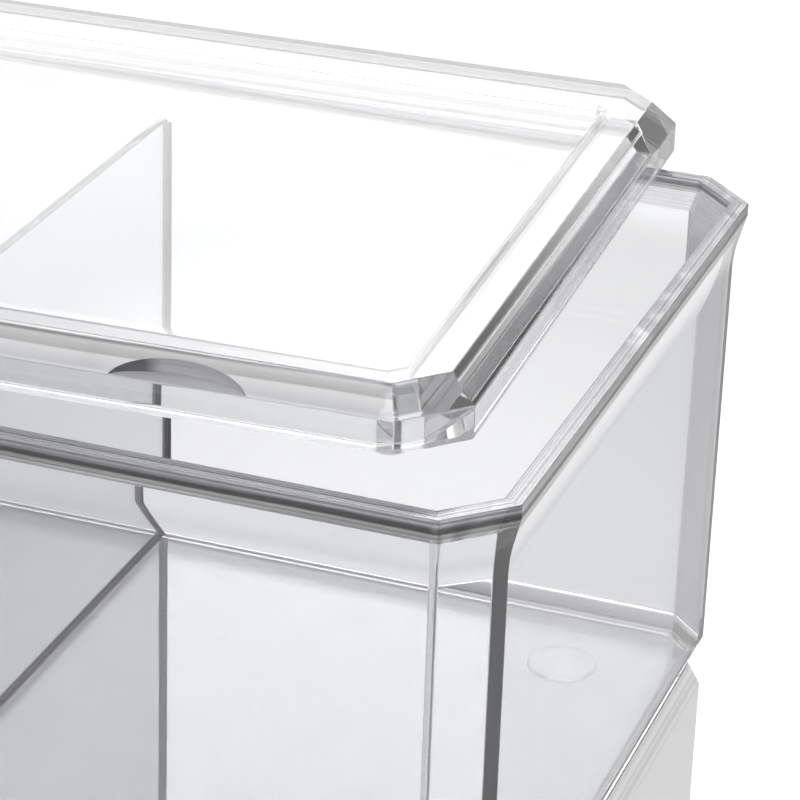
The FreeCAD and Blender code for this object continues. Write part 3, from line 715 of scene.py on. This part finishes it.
def buffed_edge_painted_sheen(name, dark, pale, haze, rough, depth, centre=BOX_AXIS, turn=0.0, bands=None,
                by_height=False):
    """A buffed clear edge with fine lines along it, bumped and painted as dark and pale streaks of sheen,
    and painted bands of highlight and shade across it where they are given.
    """
    material = clear_plastic(name, pale, haze, 0.0, 0.0)
    tree = material.node_tree
    shader = tree.nodes["Principled BSDF"]
    put(shader, "Roughness", rough)
    where = node(tree, "ShaderNodeTexCoord", (-1100, -500))
    centred = node(tree, "ShaderNodeMapping", (-900, -500), vector_type="TEXTURE")
    put(centred, "Location", tuple(c * MM for c in centre))
    put(centred, "Rotation", (0.0, 0.0, turn))
    streaks = node(tree, "ShaderNodeGroup", (-600, -500), node_tree=EDGE_STREAKS)
    put(streaks, "Depth", depth)
    # The buffing lines are painted as dark and pale streaks of colour: a painted sheen on top of their
    # bump.
    shade = node(tree, "ShaderNodeMix", (-300, 100), data_type="RGBA")
    put(shade, "A", dark + (1.0,))
    put(shade, "B", pale + (1.0,))
    link(where.outputs["Object"], centred.inputs["Vector"])
    link(centred.outputs[0], streaks.inputs["Place"])
    link(streaks.outputs["Line"], shade.inputs["Factor"])
    link(streaks.outputs["Normal"], shader.inputs["Normal"])
    colour = shade.outputs["Result"]
    if bands:
        level = streaks.outputs["Across"]
        if by_height:
            part = node(tree, "ShaderNodeSeparateXYZ", (-700, -650))
            link(where.outputs["Object"], part.inputs[0])
            level = part.outputs["Z"]
        colour = add_bands(tree, where.outputs["Object"], level, colour, bands)
    link(colour, shader.inputs["Base Color"])
    return material


print("the lid's middle", [round(c, 2) for c in LID_CENTRE[:2]])

# %% Painted bands of highlight and shade on the rim, its lip and the lid's bevel: start, end, then stops with the two ends first
RIM_TOP = BOX_FOOT + BOX_HEIGHT
RIM_BANDS = (RIM_TOP - 3.2, RIM_TOP, [
    (0.0, (0.5, 0.5, 0.53)), (1.0, (1.0, 1.0, 1.0)), (0.38, (0.3, 0.3, 0.33)),
    (0.45, (0.78, 0.79, 0.82)), (0.75, (0.85, 0.86, 0.9)), (0.95, (1.0, 1.0, 1.0))])
LIP_BANDS = (BOX_FOOT + LIP_START - 0.25, RIM_TOP, [
    (0.0, (0.35, 0.35, 0.38)), (1.0, (0.95, 0.96, 1.0)), (0.05, (1.0, 1.0, 1.0)),
    (0.10, (1.0, 1.0, 1.0)), (0.16, (0.20, 0.19, 0.19)), (0.27, (1.0, 0.96, 0.92)),
    (0.36, (0.52, 0.49, 0.47)), (0.42, (0.06, 0.06, 0.06)), (0.60, (0.06, 0.06, 0.07)),
    (0.70, (1.0, 1.0, 1.0)), (0.84, (0.36, 0.37, 0.40))])
BEVEL_BANDS = (LID_FOOT + 3.4, LID_FOOT + LID_HEIGHT, [
    (0.0, (1.0, 1.0, 1.0)), (1.0, (0.9, 0.9, 0.9)), (0.08, (0.84, 0.84, 0.86)),
    (0.48, (1.0, 1.0, 1.0)), (0.54, (1.0, 1.0, 1.0)), (0.58, (0.62, 0.62, 0.63)),
    (0.84, (0.86, 0.84, 0.83)), (0.92, (0.2, 0.2, 0.22))])
print("bands", len(RIM_BANDS[2]), len(LIP_BANDS[2]), len(BEVEL_BANDS[2]))

# %% Buffed edges of the box, the lid and the case, with painted sheen streaks
RIM = buffed_edge_painted_sheen("buffed_rim_painted_bands", (0.32, 0.325, 0.345), (1.0, 1.0, 1.0), 0.25, 0.05, 0.000004,
                  bands=RIM_BANDS)
LIP = buffed_edge_painted_sheen("buffed_lip_painted_bands", (0.40, 0.40, 0.41), (1.0, 0.99, 0.98), 0.22, 0.05, 0.000006,
                  bands=LIP_BANDS)
MOUTH = buffed_edge_painted_sheen("buffed_mouth_painted_sheen", (0.62, 0.62, 0.64), (0.78, 0.78, 0.79), 0.12, 0.02, 0.000001)
FOOT_EDGE = buffed_edge_painted_sheen("sanded_lid_foot_painted_sheen", (0.60, 0.60, 0.61), (0.85, 0.85, 0.86), 0.45, 0.3,
                        0.000012, LID_CENTRE, LID_TURN)
BEVEL = buffed_edge_painted_sheen("buffed_lid_bevel_painted_bands", (0.84, 0.84, 0.855), (1.0, 1.0, 1.0), 0.62, 0.03,
                    0.000004, LID_CENTRE, LID_TURN, BEVEL_BANDS, by_height=True)
CASE_BEVEL = buffed_edge_painted_sheen("buffed_case_bevel_painted_sheen", (0.80, 0.80, 0.82), (1.0, 1.0, 1.0), 0.75, 0.1,
                         0.000006, (0.0, 0.0, 0.0))
print("finishes so far", len(bpy.data.materials))

# %% [markdown]
# ## Satin, cement and the scoop
# The top plate of the case has a fine satin texture, the cement beads are cloudy and tinted nearly
# black as painted shade, and the scoops are buffed by hand. All three scatter a good part of the
# light, so they share one recipe: a cloudy tint with more or less milk in it. The silicone pads use
# it too, with hardly any milk. The scoop's left end turns away from the light, and that darker end
# is painted in by the direction of the surface.

# %% Satin finishes
def milky_satin(name, tint, milk, rough, wander=0.08):
    """A fine texture that scatters part of the light. The tint wanders by a share either way."""
    material = bpy.data.materials.new(name)
    material.use_nodes = True
    tree = material.node_tree
    shader = tree.nodes["Principled BSDF"]
    put(shader, "Transmission Weight", 1.0 - milk)
    put(shader, "IOR", PLASTIC_IOR)
    put(shader, "Roughness", rough)
    where = node(tree, "ShaderNodeTexCoord", (-900, 0))
    cloudy = node(tree, "ShaderNodeGroup", (-400, 100), node_tree=CLOUDY)
    put(cloudy, "Dark", tuple(c * (1 - wander) for c in tint) + (1.0,))
    put(cloudy, "Pale", tuple(c * (1 + wander) for c in tint) + (1.0,))
    link(where.outputs["Object"], cloudy.inputs["Place"])
    link(cloudy.outputs["Colour"], shader.inputs["Base Color"])
    return material


SATIN = milky_satin("satin_top_plate", (0.52, 0.522, 0.528), 0.7, 0.05)
# Painted shade: the beads are tinted nearly black, so they draw the dark line along the divider's foot
# and ends.
BONDED_SHADE = milky_satin("bonded_edge_painted_shade", (0.13, 0.13, 0.145), 0.8, 0.3, 0.45)
PAD_CLEAR = milky_satin("clear_silicone", (0.74, 0.74, 0.75), 0.06, 0.1)
print("finishes so far", len(bpy.data.materials))


# %% Buffed scoop
def buffed_scoop_painted_shade():
    """A buffed hollow: its left end turns away from the light, so that end is painted darker, a painted
    shade.
    """
    material = milky_satin("buffed_scoop_painted_shade", (0.42, 0.42, 0.44), 0.7, 0.15)
    tree = material.node_tree
    shader = tree.nodes["Principled BSDF"]
    even = shader.inputs["Base Color"].links[0].from_socket
    face = node(tree, "ShaderNodeNewGeometry", (-900, 400))
    part = node(tree, "ShaderNodeSeparateXYZ", (-700, 400))
    turned = node(tree, "ShaderNodeMapRange", (-500, 400), interpolation_type="SMOOTHSTEP")
    put(turned, "From Min", 0.16)
    put(turned, "From Max", 0.34)
    shade = node(tree, "ShaderNodeMix", (-100, 300), data_type="RGBA")
    put(shade, "B", (0.09, 0.09, 0.10, 1.0))
    link(face.outputs["Normal"], part.inputs[0])
    link(part.outputs["X"], turned.inputs["Value"])
    link(turned.outputs[0], shade.inputs["Factor"])
    link(even, shade.inputs["A"])
    link(shade.outputs["Result"], shader.inputs["Base Color"])
    return material


LEDGE = buffed_scoop_painted_shade()
print("scoop nodes", len(LEDGE.node_tree.nodes))

# %% [markdown]
# ## Rubber and steel
# The feet are soft cloudy rubber, and the screw and its washer are plated steel, turned on a lathe.
# Neither is one flat colour: both wander between two close tones and two close degrees of polish.
# The steel's grain is squeezed along the turning axis.

# %% Rubber and steel
def speckled(name, dark, pale, scale, rough, metallic=0.0, stretch=(1.0, 1.0, 1.0)):
    """An opaque finish whose colour and roughness wander a little between two close values."""
    material = bpy.data.materials.new(name)
    material.use_nodes = True
    tree = material.node_tree
    shader = tree.nodes["Principled BSDF"]
    put(shader, "Metallic", metallic)
    where = node(tree, "ShaderNodeTexCoord", (-900, 0))
    squeeze = node(tree, "ShaderNodeVectorMath", (-700, 0), operation="MULTIPLY")
    put(squeeze, 1, stretch)
    grain = node(tree, "ShaderNodeGroup", (-500, 0), node_tree=CLOUDY)
    put(grain, "Scale", scale)
    put(grain, "Dark", dark + (1.0,))
    put(grain, "Pale", pale + (1.0,))
    polish = node(tree, "ShaderNodeMapRange", (-250, -150))
    put(polish, "To Min", rough[0])
    put(polish, "To Max", rough[1])
    link(where.outputs["Object"], squeeze.inputs[0])
    link(squeeze.outputs[0], grain.inputs["Place"])
    link(grain.outputs["Cloud"], polish.inputs["Value"])
    link(grain.outputs["Colour"], shader.inputs["Base Color"])
    link(polish.outputs[0], shader.inputs["Roughness"])
    return material


RUBBER = speckled("soft_clear_rubber", (0.60, 0.60, 0.61), (0.74, 0.74, 0.75), 900.0,
                  (0.45, 0.65))
STEEL = speckled("turned_plated_steel", (0.55, 0.55, 0.57), (0.72, 0.72, 0.74), 500.0,
                 (0.18, 0.34), metallic=1.0, stretch=(1.0, 8.0, 1.0))
print("finishes so far", len(bpy.data.materials))

# %% [markdown]
# ## Which face takes which finish
# One moulding carries several finishes: it is clear, but its rim is buffed and its plinth is tinted dark,
# a painted shade in the gap where it stands on the case.
# The faces could be picked by hand in the editor. Here each face is asked how high it sits and which way
# it looks, so the choice stays right if a size changes. The two back corners have a deeper tint than the
# front ones, a painted shade where refraction alone leaves them too pale.

# %% Finishes of the box
BOX_FINISHES = [CLEAR, RIM, LIP, PLINTH, MOUTH, BACK_CORNER_SHADE]
LID_FINISHES = [CLEAR, FOOT_EDGE, LEDGE, BEVEL]
RIM_FOOT, LIP_FOOT = (BOX_FOOT + 56.8) * MM, (BOX_FOOT + LIP_START) * MM
PLINTH_TOP, WALL_FOOT = (BOX_FOOT + 3.0) * MM, (BOX_FOOT + 3.6) * MM


def is_outside(face, middle):
    """True where a face looks away from the middle of its piece, seen in plan."""
    return (face.normal.x * (face.center.x - middle[0] * MM)
            + face.normal.y * (face.center.y - middle[1] * MM)) > 0


def is_back_corner(face):
    """True on the two cut corners at the back, where the eye looks along the wall and where the painted
    shade goes.
    """
    slanted = min(abs(face.normal.x), abs(face.normal.y)) > 0.5
    return slanted and face.center.y > BOX_CENTRE.y * MM and WALL_FOOT < face.center.z < RIM_FOOT


def box_finish(face):
    """The finish of one face, from its height and the way it looks."""
    height, upright = face.center.z, abs(face.normal.z) < 0.5
    outside = is_outside(face, BOX_AXIS)
    if height > LIP_FOOT and upright and outside:
        return LIP
    if height > RIM_FOOT and face.normal.z > 0.9:
        return RIM
    if height > RIM_FOOT and not outside:
        return MOUTH
    if height < PLINTH_TOP and upright:
        return PLINTH
    return BACK_CORNER_SHADE if is_back_corner(face) else CLEAR


for material in BOX_FINISHES:
    box_piece.data.materials.append(material)
for face in box_piece.data.polygons:
    face.material_index = BOX_FINISHES.index(box_finish(face))
print("faces of the box with a special finish",
      sum(face.material_index > 0 for face in box_piece.data.polygons))


# %% Finishes of the lid, the divider and the beads
def is_lid_foot(face):
    """True under the skirt and on the outer side of the locating ring."""
    under = face.normal.z < -0.9 and abs(face.center.z - LID_FOOT * MM) < 0.0001
    ring = abs(face.normal.z) < 0.5 and face.center.z < (LID_FOOT - 0.3) * MM
    return under or (ring and is_outside(face, LID_CENTRE))


def is_front_bevel(face):
    """True on the sloped face along the front of the lid."""
    return face.normal.y < -0.4 and 0.4 < face.normal.z < 0.9 and abs(face.normal.x) < 0.2


for material in LID_FINISHES:
    lid_piece.data.materials.append(material)
for face in lid_piece.data.polygons:
    if is_lid_foot(face):
        face.material_index = LID_FINISHES.index(FOOT_EDGE)
    elif face.material_index == 0 and is_front_bevel(face):
        face.material_index = LID_FINISHES.index(BEVEL)
divider_piece.data.materials.append(CLEAR)
bead_piece.data.materials.append(BONDED_SHADE)
print("faces of the lid with a special finish",
      sum(face.material_index > 0 for face in lid_piece.data.polygons))

# %% [markdown]
# ## The case, the drawer and the knob
# These keep the exact shape of the CAD solids, but a CAD edge is perfectly sharp, and a sharp clear
# edge catches no light. Each one is copied, its triangles are merged back into flat faces, and its
# edges are softened by modifiers. The copy then stands for the solid, which stays as it is.

# %% Soft-edged copies
JOIN_REACH, FLAT_ANGLE, COPY_SOFTNESS = 0.002, 0.4, 0.3


def soften_edges(piece, width, segments=2, angle=30):
    """Softens a CAD piece's edges with modifiers alone: join, merge flat faces, bevel, flat normals."""
    join = piece.modifiers.new("join", "WELD")
    join.merge_threshold = JOIN_REACH * MM
    merge = piece.modifiers.new("merge flat faces", "DECIMATE")
    merge.decimate_type = "DISSOLVE"
    merge.angle_limit = math.radians(FLAT_ANGLE)
    bevel = piece.modifiers.new("soft edges", "BEVEL")
    bevel.width = width * MM
    bevel.segments = segments
    bevel.limit_method = "ANGLE"
    bevel.angle_limit = math.radians(angle)
    bevel.use_clamp_overlap = True
    weighted = piece.modifiers.new("flat faces stay flat", "WEIGHTED_NORMAL")
    weighted.keep_sharp = False


def dressed_copy(name, cad_name, body, materials, pick=None):
    """A new piece from a CAD node's shape: welded, its edges softened, and its faces given materials."""
    mesh = bpy.data.meshes.new_from_object(nodes[cad_name])
    mesh.name = name
    mesh.materials.clear()
    piece = bpy.data.objects.new(name, mesh)
    bpy.context.scene.collection.objects.link(piece)
    soften_edges(piece, COPY_SOFTNESS)
    bpy.context.view_layer.update()
    shaped = bpy.data.meshes.new_from_object(
        piece.evaluated_get(bpy.context.evaluated_depsgraph_get()))
    piece.modifiers.clear()
    piece.data = shaped
    for material in materials:
        shaped.materials.append(material)
    for face in shaped.polygons:
        face.material_index = pick(face) if pick else 0
    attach(piece, body)
    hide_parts(cad_name)
    print(name, "faces", len(shaped.polygons))
    return piece


print("edges will be softened by", COPY_SOFTNESS, "mm")

# %% Case, drawer and knob
CASE_TOP_FOOT = 0.0421


def case_finish(face):
    """The satin texture covers the top face of the case, and the bevel round it is buffed."""
    if face.center.z < CASE_TOP_FOOT or face.normal.z <= 0.2:
        return 0
    return 1 if face.normal.z > 0.9 else 2


dressed_copy("clear_case_shell", "drawer_case", "case",
             [CASE_CLEAR, SATIN, CASE_BEVEL], case_finish)
dressed_copy("clear_drawer_tray", "drawer_tray", "drawer", [CLEAR])
dressed_copy("clear_faceted_knob", "knob", "drawer", [CLEAR])

# %% [markdown]
# ## The small parts
# Feet, pads, screw and washer are right as the CAD has them, so they stay and only get a finish.

# %% Finishes of the CAD nodes
def node_finish(name):
    """The finish of a CAD node, by its name."""
    if name.startswith("pad"):
        return PAD_CLEAR
    if name.startswith("foot"):
        return RUBBER
    return STEEL if name in ("knob_screw", "knob_washer") else CLEAR


for name, cad in nodes.items():
    cad.data.materials.clear()
    cad.data.materials.append(node_finish(name))
print("nodes with a finish", len(nodes))

# %% [markdown]
# ## The table
# A white glossy table. Seen straight on it is nearly white, and it keeps the object's shadow and its
# mirror image. The extra glow is shown in full to the camera and in a small share through clear
# plastic and in gloss: in full it washes the clear walls out.

# %% Floor
SHOWN_THROUGH_CLEAR = 0.15
FLOOR_RADIUS, FLOOR_WHITE, FLOOR_ROUGHNESS, FLOOR_GLOW = 2.5, 0.68, 0.05, 0.34


def white_table():
    """Paler to the camera than to the object, by a glow that depends on the kind of ray."""
    material = bpy.data.materials.new("white_table")
    material.use_nodes = True
    tree = material.node_tree
    shader = tree.nodes["Principled BSDF"]
    put(shader, "Base Color", (FLOOR_WHITE, FLOOR_WHITE, FLOOR_WHITE, 1))
    put(shader, "Roughness", FLOOR_ROUGHNESS)
    put(shader, "Emission Color", (1, 1, 1, 1))
    light = node(tree, "ShaderNodeLightPath", (-600, 0))
    through = node(tree, "ShaderNodeMath", (-500, -150), operation="ADD", use_clamp=True)
    shown = node(tree, "ShaderNodeMath", (-400, 0), operation="MULTIPLY_ADD", use_clamp=True)
    put(shown, 1, SHOWN_THROUGH_CLEAR)
    glow = node(tree, "ShaderNodeMath", (-300, 0), operation="MULTIPLY")
    put(glow, 1, FLOOR_GLOW)
    link(light.outputs["Is Glossy Ray"], through.inputs[0])
    link(light.outputs["Is Transmission Ray"], through.inputs[1])
    link(through.outputs[0], shown.inputs[0])
    link(light.outputs["Is Camera Ray"], shown.inputs[2])
    link(shown.outputs[0], glow.inputs[0])
    link(glow.outputs[0], shader.inputs["Emission Strength"])
    return material


def add_floor():
    """A wide round table top at the level of the feet."""
    bm = bmesh.new()
    bmesh.ops.create_circle(bm, cap_ends=True, segments=64, radius=FLOOR_RADIUS)
    mesh = bpy.data.meshes.new("floor")
    bm.to_mesh(mesh)
    bm.free()
    floor = bpy.data.objects.new("floor", mesh)
    bpy.context.scene.collection.objects.link(floor)
    mesh.materials.append(white_table())
    return floor


floor = add_floor()
print("floor radius", FLOOR_RADIUS, "m")

# %% [markdown]
# ## The light
# Matte surfaces get an even white light from all round, so colours come out as they are written.
# Gloss and clear plastic need something to mirror: a bright backdrop behind, and darker areas beside
# it, which draw the edges. These patches are shown to glossy and clear rays only, and not after the
# light has met a matte surface, so they hardly light anything matte.

# %% Surround
SURROUND = [
    # title, azimuth from +X and elevation, inner and outer half width, all in degrees, then the
    # change of level, where 1 is white
    ("bright backdrop", 109, 34, 5, 12, 2.6),
    ("glow round the backdrop", 109, 28, 14, 34, 1.0),
    ("dark flag right of the backdrop", 62, 28, 13, 20, -1.0),
    ("dark left side of the room", 178, 15, 28, 44, -0.9),
    ("dark front left of the room", 225, 30, 15, 32, -0.6),
]


def add_patches(tree):
    """Adds up what all the patches change in the direction that a ray looks in, as a socket."""
    way = node(tree, "ShaderNodeTexCoord", (-1200, 0))
    total = None
    for row, (title, azimuth, elevation, inner, outer, change) in enumerate(SURROUND):
        a, e = math.radians(azimuth), math.radians(elevation)
        dot = node(tree, "ShaderNodeVectorMath", (-900, -200 * row), operation="DOT_PRODUCT")
        dot.label = title
        dot.inputs[1].default_value = (math.cos(e) * math.cos(a), math.cos(e) * math.sin(a),
                                       math.sin(e))
        patch = node(tree, "ShaderNodeMapRange", (-700, -200 * row), interpolation_type="SMOOTHSTEP")
        put(patch, "From Min", math.cos(math.radians(outer)))
        put(patch, "From Max", math.cos(math.radians(inner)))
        put(patch, "To Min", 0.0)
        put(patch, "To Max", change)
        link(way.outputs["Generated"], dot.inputs[0])
        link(dot.outputs["Value"], patch.inputs["Value"])
        if total is None:
            total = patch.outputs[0]
        else:
            add = node(tree, "ShaderNodeMath", (-450, -200 * row), operation="ADD")
            link(total, add.inputs[0])
            link(patch.outputs[0], add.inputs[1])
            total = add.outputs[0]
    return total


print("patches in the surround", len(SURROUND))


# %% World
def add_world():
    """Even white light, and for glossy and clear surfaces a white surround with its patches."""
    world = bpy.data.worlds.new("studio")
    world.use_nodes = True
    bpy.context.scene.world = world
    tree = world.node_tree
    background = tree.nodes["Background"]
    put(background, "Color", (1, 1, 1, 1))
    light = node(tree, "ShaderNodeLightPath", (-1200, 300))
    either = node(tree, "ShaderNodeMath", (-1050, 300), operation="ADD", use_clamp=True)
    matte = node(tree, "ShaderNodeMath", (-1050, 450), operation="LESS_THAN")
    put(matte, 1, 0.5)
    seen = node(tree, "ShaderNodeMath", (-900, 300), operation="MULTIPLY")
    link(light.outputs["Is Glossy Ray"], either.inputs[0])
    link(light.outputs["Is Transmission Ray"], either.inputs[1])
    link(light.outputs["Diffuse Depth"], matte.inputs[0])
    link(either.outputs[0], seen.inputs[0])
    link(matte.outputs[0], seen.inputs[1])
    level = node(tree, "ShaderNodeMath", (-200, 0), operation="MULTIPLY_ADD")
    put(level, 2, 1.0)
    link(add_patches(tree), level.inputs[0])
    link(seen.outputs[0], level.inputs[1])
    never_negative = node(tree, "ShaderNodeMath", (-50, 0), operation="MAXIMUM")
    put(never_negative, 1, 0.0)
    link(level.outputs[0], never_negative.inputs[0])
    link(never_negative.outputs[0], background.inputs["Strength"])
    return world


world = add_world()
print("world", world.name, "nodes", len(world.node_tree.nodes))

# %% Paths of the light: clear walls behind each other need many bounces
CLEAR_BOUNCES, GLOSSY_BOUNCES = 32, 16
cycles = bpy.context.scene.cycles
cycles.max_bounces = CLEAR_BOUNCES
cycles.transmission_bounces = CLEAR_BOUNCES
cycles.glossy_bounces = GLOSSY_BOUNCES
cycles.blur_glossy = 0.0
print("bounces", cycles.max_bounces)
